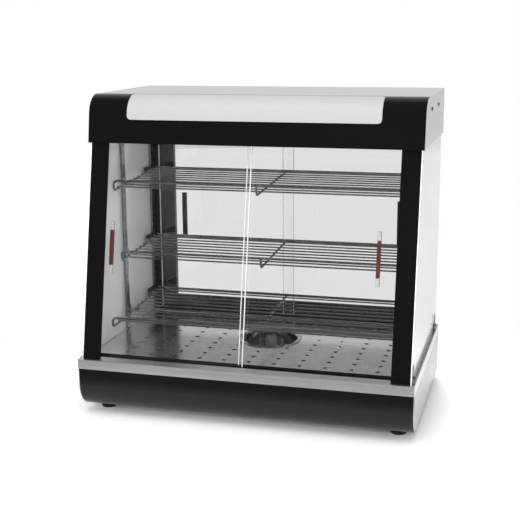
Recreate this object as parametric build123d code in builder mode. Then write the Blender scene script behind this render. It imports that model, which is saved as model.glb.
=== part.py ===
from build123d import *
import math
import os

os.makedirs("parts", exist_ok=True)

# Overall envelope of the cabinet. Depths called d are measured from the front face of the rim.
overall_width = 660.0
cabinet_depth = 422.0
knob_reach = 18.0
overall_height = 623.0
front_y = -(cabinet_depth + knob_reach) / 2
half_width = overall_width / 2

# Heights of the main levels
foot_height = 14.0
base_top = 96.0
rim_top = 115.0
hood_height = 92.0
hood_bottom = overall_height - hood_height
frame_lap = 15.0
frame_top = hood_bottom + frame_lap

# Sheet thicknesses
sheet = 1.5
hood_skin = 2.0
side_skin = 2.0
glass = 4.0

# Lean of the glazed front
lean_angle = 11.5
lean_run = math.tan(math.radians(lean_angle))
level_glass = glass / math.cos(math.radians(lean_angle))

# Small allowances
touch_gap = 0.3
slide_gap = 0.5

# Base front panel profile
panel_set_back = 2.0
panel_bend_height = 62.0
panel_bend_radius = 52.0
panel_mid_angle = math.radians(34)

# Feet
foot_radius = 17.0
foot_side_inset = 35.0
foot_front_d = 65.0
foot_rear_inset = 37.0

# Rim flange, the recess for the front door track and the deck behind it
sill_depth = 26.0
recess_floor = 106.0
deck_front_d = 51.0
rear_flange = 40.0
rear_flange_from = cabinet_depth - rear_flange
deck_half = half_width - 12.0
ledge_width = 8.0
deck_gap = 0.5
deck_top = rim_top - sheet
deck_bottom = deck_top - sheet

# Round holes of the deck
vent_hole = 9.0
vent_pitch_x = 50.5
vent_pitch_d = 34.2
vent_first_d = 71.0
vent_columns = 2 * int((deck_half - 30) / vent_pitch_x) + 1
vent_rows = int((rear_flange_from - 25 - vent_first_d) / vent_pitch_d) + 1

# Water cup in the deck
cup_x = -0.5
cup_d = 233.0
cup_radius = 58.0
cup_lip = 66.0
cup_depth = 40.0
cup_wall = 1.0

# Side panels, front pillars and rear posts
side_clear = 6.5
panel_outer = half_width - side_clear
panel_inner = panel_outer - side_skin
pillar_face = 36.0
pillar_front_d = 8.0
pillar_plate = 3.0
pillar_inner = panel_inner - pillar_face
post_face = 53.5
post_depth = 14.0
post_wall = 2.0
post_inner = panel_inner - post_face
post_front_d = cabinet_depth - post_depth
rear_bar_height = 32.0

# Slotted uprights and shelf hooks
upright_width = 5.0
upright_depth = 14.0
upright_sheet = 1.2
upright_inner = panel_inner - upright_width
slot_pitch = 14.0
slot_width = 4.0
slot_height = 8.0
front_upright_d = 235.0
rear_upright_d = cabinet_depth - 24.0

# Door planes, given at the rim top
front_outer_pane_d = 33.0
front_inner_pane_d = 45.0
rear_outer_pane_d = post_front_d - 5.0
rear_inner_pane_d = rear_outer_pane_d - 14.0
track_half = upright_inner - 12.0
track_height = 7.0
track_floor = 2.0
top_track_height = 12.0
door_edge = track_half - 2.5
front_track_floor = recess_floor + track_floor
front_pane_bottom = front_track_floor + touch_gap
rear_pane_bottom = rim_top + track_floor + touch_gap
pane_top = frame_top - 3.5
front_left_meet = -2.0
front_right_meet = -14.0
rear_overlap = 11.0

# Handles
handle_width = 7.0
front_handle_proud = 6.6
rear_handle_proud = 7.2
handle_bottom = 278.0
handle_length = 100.0
handle_top = handle_bottom + handle_length
handle_post = 16.0
front_left_handle_x = -door_edge + 23.0
front_right_handle_x = door_edge - 54.0
rear_handle_x = post_inner - 24.0

# Wire shelves
shelf_half = upright_inner - 18.5
shelf_rear_d = rear_inner_pane_d - 10.0
frame_wire = 2.5
thin_wire = 1.6
wire_pitch = 21.5
guard_rise = 20.0
guard_bend = 8.0
corner_bend = 14.0
shelf_tilt = 3.4
shelf_fall = math.tan(math.radians(shelf_tilt))

# Hood
hood_half = half_width - 3.0
fascia_d = 87.0
fascia_lean = 9.0
fascia_bend_height = overall_height - 35.0
roof_seam_d = 145.0
window_half = hood_half - 79.0
window_bottom = hood_bottom + 45.0
window_join = hood_bottom + 72.0
window_back_d = 137.0
window_corner = 8.0
lamp_radius = 8.0
lamp_half = window_half - 23.0
lamp_d = 160.0
lamp_height = hood_bottom + 56.0
lamp_holder_width = 14.0

# Controls on the rear panel of the base
control_height = 56.0
knob_x = -200.0
power_switch_x = -130.0
light_switch_x = -92.0
pilot_x = -58.0
inlet_x = 235.0


def y_of(d):
    return front_y + d


def lean(z):
    return (z - rim_top) * lean_run


def leaning_band(d, depth, z_low, z_high):
    return [
        (y_of(d + lean(z_low)), z_low),
        (y_of(d + depth + lean(z_low)), z_low),
        (y_of(d + depth + lean(z_high)), z_high),
        (y_of(d + lean(z_high)), z_high),
    ]


def block(d_low, d_high, z_low, z_high):
    return [
        (y_of(d_low), z_low),
        (y_of(d_high), z_low),
        (y_of(d_high), z_high),
        (y_of(d_low), z_high),
    ]


def prism(points, x_low, x_high, mode=Mode.ADD):
    with BuildSketch(Plane.YZ.offset(x_low)) as outline:
        Polygon(*points, align=None)
    extrude(outline.sketch, amount=x_high - x_low, mode=mode)


def side_span(sign, near, far):
    return min(sign * near, sign * far), max(sign * near, sign * far)


def save(part, node):
    part.label = node
    export_step(part, f"parts/{node}.step")


# Base: a folded floor tray
with BuildPart() as base_bottom_pan:
    tray_front = panel_set_back + panel_bend_radius - 15.4
    prism(block(tray_front, cabinet_depth, foot_height, foot_height + sheet), -half_width + sheet, half_width - sheet)
    for row in range(3):
        with BuildSketch(Plane.XY.offset(foot_height)):
            with GridLocations(24, 0, 9, 1):
                with Locations((0, y_of(130 + 90 * row))):
                    SlotOverall(18, 5, rotation=90)
        extrude(amount=sheet, mode=Mode.SUBTRACT)
save(base_bottom_pan.part, "base_bottom_pan")

# Base: side sheets cut to the same curve as the front panel
bend_centre_d = panel_set_back + panel_bend_radius
bend_end_d = bend_centre_d - math.sqrt(panel_bend_radius ** 2 - (panel_bend_height - foot_height) ** 2)
bend_mid_d = bend_centre_d - panel_bend_radius * math.cos(panel_mid_angle)
bend_mid_z = panel_bend_height - panel_bend_radius * math.sin(panel_mid_angle)
for side, sign in (("left", -1), ("right", 1)):
    low, high = side_span(sign, half_width - sheet, half_width)
    with BuildPart() as base_side:
        with BuildSketch(Plane.YZ.offset(low)):
            with BuildLine():
                Line((y_of(panel_set_back), base_top), (y_of(panel_set_back), panel_bend_height))
                ThreePointArc(
                    (y_of(panel_set_back), panel_bend_height),
                    (y_of(bend_mid_d), bend_mid_z),
                    (y_of(bend_end_d), foot_height),
                )
                Polyline(
                    (y_of(bend_end_d), foot_height),
                    (y_of(cabinet_depth), foot_height),
                    (y_of(cabinet_depth), base_top),
                    (y_of(panel_set_back), base_top),
                )
            make_face()
        extrude(amount=sheet)
    save(base_side.part, f"base_side_{side}")

# Base: the black front panel, one sheet bent under at the bottom
with BuildPart() as base_front_panel:
    inner_radius = panel_bend_radius - sheet
    inner_end_d = bend_centre_d - math.sqrt(inner_radius ** 2 - (panel_bend_height - foot_height) ** 2)
    with BuildSketch(Plane.YZ.offset(-half_width + sheet)):
        with BuildLine():
            Line((y_of(panel_set_back), base_top), (y_of(panel_set_back), panel_bend_height))
            ThreePointArc(
                (y_of(panel_set_back), panel_bend_height),
                (y_of(bend_mid_d), bend_mid_z),
                (y_of(bend_end_d), foot_height),
            )
            Line((y_of(bend_end_d), foot_height), (y_of(inner_end_d), foot_height))
            ThreePointArc(
                (y_of(inner_end_d), foot_height),
                (
                    y_of(bend_centre_d - inner_radius * math.cos(panel_mid_angle)),
                    panel_bend_height - inner_radius * math.sin(panel_mid_angle),
                ),
                (y_of(panel_set_back + sheet), panel_bend_height),
            )
            Line((y_of(panel_set_back + sheet), panel_bend_height), (y_of(panel_set_back + sheet), base_top))
            Line((y_of(panel_set_back + sheet), base_top), (y_of(panel_set_back), base_top))
        make_face()
    extrude(amount=overall_width - 2 * sheet)
save(base_front_panel.part, "base_front_panel")

# Sizes of the controls that pass through the rear panel
bushing_radius = 4.5
switch_width = 15.0
switch_tall = 21.0
pilot_radius = 5.0
inlet_width = 28.0
inlet_tall = 21.0
panel_face = cabinet_depth
panel_back = cabinet_depth - sheet

# Base: rear panel with its cut-outs and a row of vent slots
with BuildPart() as base_rear_panel:
    prism(block(panel_back, panel_face, foot_height + sheet, base_top), -half_width + sheet, half_width - sheet)
    with BuildSketch(Plane.XZ.offset(-y_of(panel_face))):
        with Locations((knob_x, control_height)):
            Circle(bushing_radius + 0.2)
        with Locations((power_switch_x, control_height), (light_switch_x, control_height)):
            Rectangle(switch_width + 2 * touch_gap, switch_tall + 2 * touch_gap)
        with Locations((pilot_x, control_height)):
            Circle(pilot_radius + touch_gap)
        with Locations((inlet_x, control_height)):
            Rectangle(inlet_width + 2 * touch_gap, inlet_tall + 2 * touch_gap)
        with Locations((90, control_height)):
            with GridLocations(12, 0, 12, 1):
                SlotOverall(34, 4, rotation=90)
    extrude(amount=sheet, mode=Mode.SUBTRACT)
save(base_rear_panel.part, "base_rear_panel")

# Rim: folded stainless frame that closes the base, with a recess for the front track
# and an inner ledge that carries the deck
with BuildPart() as rim_frame:
    prism(block(0, cabinet_depth, base_top, rim_top), -half_width, half_width)
    prism(
        block(sheet, cabinet_depth - sheet, base_top, rim_top - sheet),
        -half_width + sheet,
        half_width - sheet,
        Mode.SUBTRACT,
    )
    prism(block(sill_depth, rear_flange_from, rim_top - sheet, rim_top), -deck_half, deck_half, Mode.SUBTRACT)
    prism(block(0, 12, base_top, base_top + sheet), -half_width, half_width)
    prism(
        block(deck_front_d, rear_flange_from + sheet, deck_bottom - sheet, rim_top - sheet),
        -deck_half - sheet,
        deck_half + sheet,
    )
    prism(
        block(deck_front_d, rear_flange_from, deck_bottom, rim_top - sheet),
        -deck_half,
        deck_half,
        Mode.SUBTRACT,
    )
    prism(
        block(deck_front_d + ledge_width, rear_flange_from - ledge_width, deck_bottom - sheet, deck_bottom),
        -deck_half + ledge_width,
        deck_half - ledge_width,
        Mode.SUBTRACT,
    )
    prism(
        block(sill_depth - sheet, deck_front_d, recess_floor - sheet, rim_top - sheet),
        -deck_half - sheet,
        deck_half + sheet,
    )
    prism(
        block(sill_depth, deck_front_d, recess_floor, rim_top),
        -deck_half,
        deck_half,
        Mode.SUBTRACT,
    )
    prism(
        block(deck_front_d - sheet, deck_front_d, recess_floor - sheet, deck_bottom),
        -deck_half - sheet,
        deck_half + sheet,
    )
save(rim_frame.part, "rim_frame")

# Deck: the perforated floor of the cabinet
with BuildPart() as deck_plate:
    prism(
        block(deck_front_d + deck_gap, rear_flange_from - deck_gap, deck_bottom, deck_top),
        -deck_half + deck_gap,
        deck_half - deck_gap,
    )
    with BuildSketch(Plane.XY.offset(deck_bottom)):
        with Locations((cup_x, y_of(cup_d))):
            Circle(cup_radius + 0.5)
        for row in range(vent_rows):
            for column in range(vent_columns):
                hole_x = (column - (vent_columns - 1) / 2) * vent_pitch_x
                hole_d = vent_first_d + row * vent_pitch_d
                if math.hypot(hole_x - cup_x, hole_d - cup_d) > cup_lip + vent_hole:
                    with Locations((hole_x, y_of(hole_d))):
                        Circle(vent_hole / 2)
    extrude(amount=sheet, mode=Mode.SUBTRACT)
save(deck_plate.part, "deck_plate")

# Water cup: spun cup with a flat lip that rests on the deck
with BuildPart() as water_pan:
    with BuildSketch(Plane.XZ):
        with BuildLine():
            Polyline(
                (0, deck_top - cup_depth),
                (cup_radius - 4, deck_top - cup_depth),
                (cup_radius, deck_top - cup_depth + 5),
                (cup_radius, deck_top),
                (cup_lip, deck_top),
                (cup_lip, deck_top + 1.8),
                (cup_lip - 1.2, deck_top + 2.4),
                (cup_radius - cup_wall + 1.5, deck_top + 1.6),
                (cup_radius - cup_wall, deck_top),
                (cup_radius - cup_wall, deck_top - cup_depth + 5.4),
                (cup_radius - 4.6, deck_top - cup_depth + cup_wall),
                (0, deck_top - cup_depth + cup_wall),
                close=True,
            )
        make_face()
    revolve(axis=Axis.Z)
water_pan_part = water_pan.part.moved(Location((cup_x, y_of(cup_d), 0)))
save(water_pan_part, "water_pan")

# Feet: four rubber pads
with BuildPart() as feet:
    foot_rear_d = cabinet_depth - foot_rear_inset
    with Locations((0, y_of((foot_front_d + foot_rear_d) / 2), 0)):
        with GridLocations(2 * (half_width - foot_side_inset), foot_rear_d - foot_front_d, 2, 2):
            Cone(foot_radius - 2, foot_radius, foot_height, align=(Align.CENTER, Align.CENTER, Align.MIN))
save(feet.part, "feet")

# Heating element: a sheathed tube bent to a long U under the deck
element_height = 58.0
element_radius = 4.0
element_front_d = 150.0
element_rear_d = 310.0
element_end_x = 250.0
element_turn_x = -190.0
with BuildPart() as heating_element:
    turn_radius = (element_rear_d - element_front_d) / 2
    turn_mid = (element_turn_x - turn_radius, y_of((element_front_d + element_rear_d) / 2), element_height)
    with BuildLine() as element_path:
        Line(
            (element_end_x, y_of(element_front_d), element_height),
            (element_turn_x, y_of(element_front_d), element_height),
        )
        ThreePointArc(
            (element_turn_x, y_of(element_front_d), element_height),
            turn_mid,
            (element_turn_x, y_of(element_rear_d), element_height),
        )
        Line(
            (element_turn_x, y_of(element_rear_d), element_height),
            (element_end_x, y_of(element_rear_d), element_height),
        )
    with BuildSketch(Plane((element_end_x, y_of(element_front_d), element_height), z_dir=(-1, 0, 0))):
        Circle(element_radius)
    sweep(path=element_path.line)
save(heating_element.part, "heating_element")

# Brackets: bent strips that stand on the tray under the element
with BuildPart() as element_brackets:
    bracket_top = element_height - element_radius - touch_gap
    for bracket_x in (-150, 60, 230):
        for bracket_d in (element_front_d, element_rear_d):
            with Locations((bracket_x, y_of(bracket_d), foot_height + sheet)):
                Box(2, 24, bracket_top - foot_height - sheet, align=(Align.CENTER, Align.CENTER, Align.MIN))
            with Locations((bracket_x + 7, y_of(bracket_d), foot_height + sheet)):
                Box(14, 24, 2, align=(Align.CENTER, Align.CENTER, Align.MIN))
            with Locations((bracket_x, y_of(bracket_d), bracket_top - 2)):
                Box(12, 24, 2, align=(Align.CENTER, Align.CENTER, Align.MIN))
save(element_brackets.part, "element_brackets")

# Thermostat: a capillary thermostat body with its threaded bushing
shaft_radius = 3.0
shaft_fit = 0.05
shaft_length = 14.0
knob_gap = 2.6
with BuildPart() as thermostat_body:
    with BuildSketch(Plane.XZ.offset(-y_of(panel_back))):
        with Locations((knob_x, control_height)):
            RectangleRounded(42, 34, 3)
    extrude(amount=34)
    with BuildSketch(Plane.XZ.offset(-y_of(panel_face + 2))):
        with Locations((knob_x, control_height)):
            Circle(bushing_radius)
    extrude(amount=2 + sheet)
    with BuildSketch(Plane.XZ.offset(-y_of(panel_face + 2))):
        with Locations((knob_x, control_height)):
            Circle(shaft_radius + shaft_fit)
    extrude(amount=shaft_length + 1, mode=Mode.SUBTRACT)
save(thermostat_body.part, "thermostat_body")

# Knob: round moulded knob with a raised pointer and the shaft it turns
knob_radius = 17.0
with BuildPart() as thermostat_knob:
    with BuildSketch(Plane.XZ.offset(-y_of(cabinet_depth + knob_reach))):
        with Locations((knob_x, control_height)):
            Circle(knob_radius - 3)
    extrude(amount=knob_reach - knob_gap)
    with BuildSketch(Plane.XZ.offset(-y_of(panel_face + knob_gap + 5))):
        with Locations((knob_x, control_height)):
            Circle(knob_radius)
    extrude(amount=5)
    chamfer(thermostat_knob.edges().filter_by(GeomType.CIRCLE).group_by(Axis.Y)[-1], 1.0)
    with BuildSketch(Plane.XZ.offset(-y_of(cabinet_depth + knob_reach - 0.4))):
        with Locations((knob_x, control_height + 8)):
            Rectangle(2.4, 17)
    extrude(amount=8)
    with BuildSketch(Plane.XZ.offset(-y_of(panel_face + knob_gap + 0.1))):
        with Locations((knob_x, control_height)):
            Circle(shaft_radius)
    extrude(amount=shaft_length)
save(thermostat_knob.part, "thermostat_knob")

# Rocker switches: a snap-in body with a bezel, and the rocker that tips in its pocket
rocker_radius = 8.0
rocker_pivot_d = cabinet_depth - 2.0
rocker_tip = 8.0
rocker_width = 10.4
pocket_width = 11.2
pocket_tall = 17.0
for switch_name, switch_x in (("power", power_switch_x), ("light", light_switch_x)):
    with BuildPart() as switch_body:
        with BuildSketch(Plane.XZ.offset(-y_of(panel_face))):
            with Locations((switch_x, control_height)):
                Rectangle(switch_width, switch_tall)
        extrude(amount=13)
        with BuildSketch(Plane.XZ.offset(-y_of(panel_face + 1.5))):
            with Locations((switch_x, control_height)):
                RectangleRounded(switch_width + 3, switch_tall + 3, 1.5)
        extrude(amount=1.5)
        with BuildSketch(Plane.XZ.offset(-y_of(panel_face + 1.5))):
            with Locations((switch_x, control_height)):
                Rectangle(pocket_width, pocket_tall)
        extrude(amount=12, mode=Mode.SUBTRACT)
        with BuildSketch(Plane.XZ.offset(-y_of(panel_face - 13))):
            with Locations((switch_x, control_height)):
                with GridLocations(0, 7, 1, 2):
                    Rectangle(6, 0.8)
        extrude(amount=7)
    save(switch_body.part, f"{switch_name}_switch_body")
    with BuildPart() as rocker:
        with BuildSketch(Plane.YZ.offset(switch_x - rocker_width / 2)):
            with Locations((y_of(rocker_pivot_d), control_height)):
                Circle(rocker_radius)
            dip = rocker_radius * math.sin(math.radians(rocker_tip))
            with BuildLine():
                Polyline(
                    (y_of(rocker_pivot_d + 4.6 + dip), control_height + rocker_radius + 1),
                    (y_of(rocker_pivot_d + 4.6), control_height),
                    (y_of(rocker_pivot_d + 4.6 - dip), control_height - rocker_radius - 1),
                    (y_of(rocker_pivot_d + 14), control_height - rocker_radius - 1),
                    (y_of(rocker_pivot_d + 14), control_height + rocker_radius + 1),
                    close=True,
                )
            make_face(mode=Mode.SUBTRACT)
        extrude(amount=rocker_width)
    save(rocker.part, f"{switch_name}_rocker")

# Pilot lamp: a small domed lens pressed into the panel
with BuildPart() as indicator_lamp:
    with BuildSketch(Plane.XZ.offset(-y_of(panel_face))):
        with Locations((pilot_x, control_height)):
            Circle(pilot_radius)
    extrude(amount=18)
    with BuildSketch(Plane.XZ.offset(-y_of(panel_face + 3))):
        with Locations((pilot_x, control_height)):
            Circle(pilot_radius + 1.5)
    extrude(amount=3)
    fillet(indicator_lamp.edges().filter_by(GeomType.CIRCLE).group_by(Axis.Y)[-1], 2.0)
save(indicator_lamp.part, "indicator_lamp")

# Power inlet: flanged socket with three flat pins
with BuildPart() as power_inlet:
    with BuildSketch(Plane.XZ.offset(-y_of(panel_face + 3))):
        with Locations((inlet_x, control_height)):
            RectangleRounded(50, inlet_tall + 4, 3)
    extrude(amount=3)
    with BuildSketch(Plane.XZ.offset(-y_of(panel_face))):
        with Locations((inlet_x, control_height)):
            Rectangle(inlet_width, inlet_tall)
    extrude(amount=20)
    with BuildSketch(Plane.XZ.offset(-y_of(panel_face + 3))):
        with Locations((inlet_x, control_height)):
            RectangleRounded(24, 16, 3)
    extrude(amount=17, mode=Mode.SUBTRACT)
    with BuildSketch(Plane.XZ.offset(-y_of(panel_face))):
        with Locations(
            (inlet_x - 7, control_height - 2),
            (inlet_x, control_height + 2),
            (inlet_x + 7, control_height - 2),
        ):
            Rectangle(2, 4)
    extrude(amount=16)
save(power_inlet.part, "power_inlet")

# Front pillars: black plates that lean with the glass and close the gap beside the doors
for side, sign in (("left", -1), ("right", 1)):
    low, high = side_span(sign, pillar_inner, panel_inner)
    with BuildPart() as front_pillar:
        prism(leaning_band(pillar_front_d, pillar_plate, rim_top, frame_top), low, high)
    save(front_pillar.part, f"front_pillar_{side}")

# Rear posts: closed black posts at the rear corners
for side, sign in (("left", -1), ("right", 1)):
    with BuildPart() as rear_post:
        low, high = side_span(sign, post_inner, panel_inner)
        prism(block(post_front_d, cabinet_depth - hood_skin, rim_top, frame_top), low, high)
        low, high = side_span(sign, post_inner + post_wall, panel_inner - post_wall)
        prism(
            block(post_front_d + post_wall, cabinet_depth - hood_skin - post_wall, rim_top, frame_top),
            low,
            high,
            Mode.SUBTRACT,
        )
    save(rear_post.part, f"rear_post_{side}")

# Rear bar: black bar between the rear posts, behind the foot of the rear doors
with BuildPart() as rear_bar:
    prism(
        block(post_front_d, cabinet_depth - hood_skin, rim_top, rim_top + rear_bar_height),
        -post_inner,
        post_inner,
    )
    prism(
        block(post_front_d + post_wall, cabinet_depth - hood_skin, rim_top, rim_top + rear_bar_height - post_wall),
        -post_inner,
        post_inner,
        Mode.SUBTRACT,
    )
save(rear_bar.part, "rear_bar")

# Side panels: polished sheets from the front pillar to the rear post
for side, sign in (("left", -1), ("right", 1)):
    low, high = side_span(sign, panel_inner, panel_outer)
    with BuildPart() as side_panel:
        prism(
            [
                (y_of(pillar_front_d), rim_top),
                (y_of(cabinet_depth - hood_skin), rim_top),
                (y_of(cabinet_depth - hood_skin), frame_top),
                (y_of(pillar_front_d + lean(frame_top)), frame_top),
            ],
            low,
            high,
        )
    save(side_panel.part, f"side_panel_{side}")

# Side rails: bent strips along the foot of each side panel
rail_from_d = 34.0
rail_to_d = cabinet_depth - 20.0
rail_height = 12.0
rail_foot = half_width - 0.5
rail_leg = 1.5
for side, sign in (("left", -1), ("right", 1)):
    with BuildPart() as side_rail:
        low, high = side_span(sign, panel_outer, panel_outer + rail_leg)
        prism(block(rail_from_d, rail_to_d, rim_top, rim_top + rail_height), low, high)
        low, high = side_span(sign, panel_outer + rail_leg, rail_foot)
        prism(block(rail_from_d, rail_to_d, rim_top, rim_top + sheet), low, high)
    save(side_rail.part, f"side_rail_{side}")

# Side clips: small stamped hooks that hold each side panel to the rim, front and rear
clip_leg = 1.5
clip_height = 32.0
clip_length = 20.0
pin_radius = 3.0
with BuildPart() as side_clips:
    for sign in (-1, 1):
        for clip_d in (rail_from_d - clip_length - 0.5, rail_to_d + 0.5 - 2 * clip_length):
            if clip_d > rail_from_d:
                foot_z = rim_top + sheet
                wall = panel_outer + rail_leg
            else:
                foot_z = rim_top
                wall = panel_outer
            low, high = side_span(sign, wall, wall + clip_leg)
            prism(
                [
                    (y_of(clip_d), foot_z),
                    (y_of(clip_d + clip_length), foot_z),
                    (y_of(clip_d + clip_length), foot_z + clip_height * 0.35),
                    (y_of(clip_d + clip_length * 0.8), foot_z + clip_height * 0.6),
                    (y_of(clip_d + clip_length), foot_z + clip_height * 0.8),
                    (y_of(clip_d + clip_length * 0.8), foot_z + clip_height),
                    (y_of(clip_d + clip_length * 0.45), foot_z + clip_height),
                    (y_of(clip_d + clip_length * 0.3), foot_z + clip_height * 0.5),
                ],
                low,
                high,
            )
            low, high = side_span(sign, wall, rail_foot)
            prism(block(clip_d, clip_d + clip_length, foot_z, foot_z + sheet), low, high)
            low, high = side_span(sign, wall + clip_leg, rail_foot)
            with BuildSketch(Plane.YZ.offset(low)) as pin_outline:
                with Locations((y_of(clip_d + clip_length / 2), foot_z + clip_height * 0.3)):
                    Circle(pin_radius)
            extrude(pin_outline.sketch, amount=high - low)
save(side_clips.part, "side_clips")

# Slotted uprights: shallow folded channels on the side panels, slotted towards the shelves
for place, centre_d in (("front", front_upright_d), ("rear", rear_upright_d)):
    for side, sign in (("left", -1), ("right", 1)):
        with BuildPart() as upright:
            low, high = side_span(sign, upright_inner, panel_inner)
            near_d = centre_d - upright_depth / 2
            far_d = centre_d + upright_depth / 2
            prism(block(near_d, far_d, rim_top, frame_top), low, high)
            low, high = side_span(sign, upright_inner + upright_sheet, panel_inner)
            prism(
                block(near_d + upright_sheet, far_d - upright_sheet, rim_top, frame_top),
                low,
                high,
                Mode.SUBTRACT,
            )
            low, high = side_span(sign, upright_inner, upright_inner + upright_sheet)
            slot_count = int((frame_top - rim_top - 20) / slot_pitch)
            with BuildSketch(Plane.YZ.offset(low)):
                for slot in range(slot_count):
                    with Locations((y_of(centre_d), rim_top + 16 + slot * slot_pitch)):
                        Rectangle(slot_width, slot_height)
            extrude(amount=upright_sheet, mode=Mode.SUBTRACT)
        save(upright.part, f"upright_{place}_{side}")

# Wire shelves: frame wire bent up at the front into a guard, with thin wires laid across.
# Each shelf hangs a few degrees down towards the front; its level is that of its rear wire.
shelf_levels = (("top", 444.0, 137.0), ("middle", 292.0, 165.0), ("bottom", 169.0, 106.0))
thin_z = frame_wire + thin_wire - 0.3
for shelf_name, level, front_d in shelf_levels:
    y_back = y_of(shelf_rear_d)
    y_front = y_of(front_d)
    guard_z = level + guard_rise
    with BuildPart() as shelf:
        for sign in (-1, 1):
            side_x = sign * shelf_half
            turn = corner_bend * (1 - math.sqrt(0.5))
            bend = guard_bend * (1 - math.sqrt(0.5))
            with BuildLine() as half_frame:
                Line((0, y_back, level), (side_x - sign * corner_bend, y_back, level))
                ThreePointArc(
                    (side_x - sign * corner_bend, y_back, level),
                    (side_x - sign * turn, y_back - turn, level),
                    (side_x, y_back - corner_bend, level),
                )
                Line((side_x, y_back - corner_bend, level), (side_x, y_front + guard_bend, level))
                ThreePointArc(
                    (side_x, y_front + guard_bend, level),
                    (side_x, y_front + bend, level + bend),
                    (side_x, y_front, level + guard_bend),
                )
                Line((side_x, y_front, level + guard_bend), (side_x, y_front, guard_z - guard_bend))
                ThreePointArc(
                    (side_x, y_front, guard_z - guard_bend),
                    (side_x - sign * bend, y_front, guard_z - bend),
                    (side_x - sign * guard_bend, y_front, guard_z),
                )
                Line((side_x - sign * guard_bend, y_front, guard_z), (0, y_front, guard_z))
            with BuildSketch(Plane((0, y_back, level), z_dir=(sign, 0, 0))):
                Circle(frame_wire)
            sweep(path=half_frame.line)
        with BuildLine() as centre_wire:
            Line((0, y_back, level), (0, y_front + guard_bend, level))
            ThreePointArc(
                (0, y_front + guard_bend, level),
                (0, y_front + bend, level + bend),
                (0, y_front, level + guard_bend),
            )
            Line((0, y_front, level + guard_bend), (0, y_front, guard_z))
        with BuildSketch(Plane((0, y_back, level), z_dir=(0, -1, 0))):
            Circle(frame_wire)
        sweep(path=centre_wire.line)
        wire_count = int((shelf_rear_d - front_d - 16) / wire_pitch) + 1
        with BuildSketch(Plane.YZ.offset(-shelf_half - 1)):
            for wire in range(wire_count):
                with Locations((y_back - 6 - wire * wire_pitch, level + thin_z)):
                    Circle(thin_wire)
        extrude(amount=2 * shelf_half + 2)
    tilted_shelf = shelf.part.rotate(Axis((0, y_back, level), (1, 0, 0)), shelf_tilt)
    save(tilted_shelf, f"shelf_{shelf_name}")

# Shelf hooks: bent plates on the uprights with a tongue under each side wire
hook_plate = 1.2
hook_tongue = 2.0
with BuildPart() as shelf_hooks:
    for shelf_name, level, front_d in shelf_levels:
        for sign in (-1, 1):
            for hook_from, hook_to, tongue_from, tongue_to in (
                (front_upright_d - 9, front_upright_d + 9, front_upright_d - 9, front_upright_d + 9),
                (shelf_rear_d - 32, rear_upright_d + 6, shelf_rear_d - 32, shelf_rear_d - 16),
            ):
                wire_drop = (shelf_rear_d - tongue_from) * shelf_fall
                tongue_top = level - wire_drop - frame_wire - touch_gap
                low, high = side_span(sign, upright_inner - hook_plate, upright_inner)
                prism(block(hook_from, hook_to, tongue_top - 12, tongue_top + 8), low, high)
                low, high = side_span(sign, shelf_half - 5, upright_inner)
                prism(block(tongue_from, tongue_to, tongue_top - hook_tongue, tongue_top), low, high)
save(shelf_hooks.part, "shelf_hooks")

# Door tracks at the front: leaning channels with one groove for each pane
groove = level_glass + 2 * slide_gap
front_track_d = front_outer_pane_d - groove / 2 - 2.2
front_track_depth = front_inner_pane_d - front_outer_pane_d + groove + 4.4
for place, z_low, z_high, cut_low, cut_high, x_half in (
    ("bottom", recess_floor, rim_top, front_track_floor, rim_top + 1, deck_half - deck_gap),
    ("top", frame_top - top_track_height, frame_top, frame_top - top_track_height - 1, pane_top + 1, track_half),
):
    with BuildPart() as front_track:
        prism(leaning_band(front_track_d, front_track_depth, z_low, z_high), -x_half, x_half)
        for pane_d in (front_outer_pane_d, front_inner_pane_d):
            prism(
                leaning_band(pane_d - groove / 2, groove, cut_low, cut_high),
                -x_half,
                x_half,
                Mode.SUBTRACT,
            )
    save(front_track.part, f"front_track_{place}")

# Door tracks at the rear: upright channels with one groove for each pane
rear_groove = glass + 2 * slide_gap
track_lip = 2.0
for place, z_low, z_high, cut_low, cut_high in (
    ("bottom", rim_top, rim_top + track_height, rim_top + track_floor, rim_top + track_height + 1),
    ("top", frame_top - top_track_height, frame_top, frame_top - top_track_height - 1, pane_top + 1),
):
    with BuildPart() as rear_track:
        prism(
            block(
                rear_inner_pane_d - rear_groove / 2 - track_lip,
                rear_outer_pane_d + rear_groove / 2 + track_lip,
                z_low,
                z_high,
            ),
            -track_half,
            track_half,
        )
        for pane_d in (rear_inner_pane_d, rear_outer_pane_d):
            prism(
                block(pane_d - rear_groove / 2, pane_d + rear_groove / 2, cut_low, cut_high),
                -track_half,
                track_half,
                Mode.SUBTRACT,
            )
    save(rear_track.part, f"rear_track_{place}")

# Front sliding doors: leaning panes, each with a coloured grip between two clear end posts
for side, pane_d, x_low, x_high, handle_x in (
    ("left", front_outer_pane_d, -door_edge, front_left_meet, front_left_handle_x),
    ("right", front_inner_pane_d, front_right_meet, door_edge, front_right_handle_x),
):
    pane_face = pane_d - level_glass / 2
    with BuildPart() as door_pane:
        prism(leaning_band(pane_face, level_glass, front_pane_bottom, pane_top), x_low, x_high)
    save(door_pane.part, f"front_door_{side}")
    grip_low = handle_bottom + handle_post
    grip_high = handle_top - handle_post
    x_low = handle_x - handle_width / 2
    x_high = handle_x + handle_width / 2
    grip_face = pane_face - front_handle_proud
    with BuildPart() as door_grip:
        prism(leaning_band(grip_face, front_handle_proud, grip_low, grip_high), x_low, x_high)
        fillet(door_grip.faces().sort_by(Axis.Y)[0].edges().filter_by(Axis.X, reverse=True), 1.5)
    save(door_grip.part, f"front_grip_{side}")
    with BuildPart() as door_posts:
        for z_low, z_high in ((handle_bottom, grip_low), (grip_high, handle_top)):
            prism(leaning_band(grip_face, front_handle_proud, z_low, z_high), x_low, x_high)
    save(door_posts.part, f"front_grip_posts_{side}")

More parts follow.
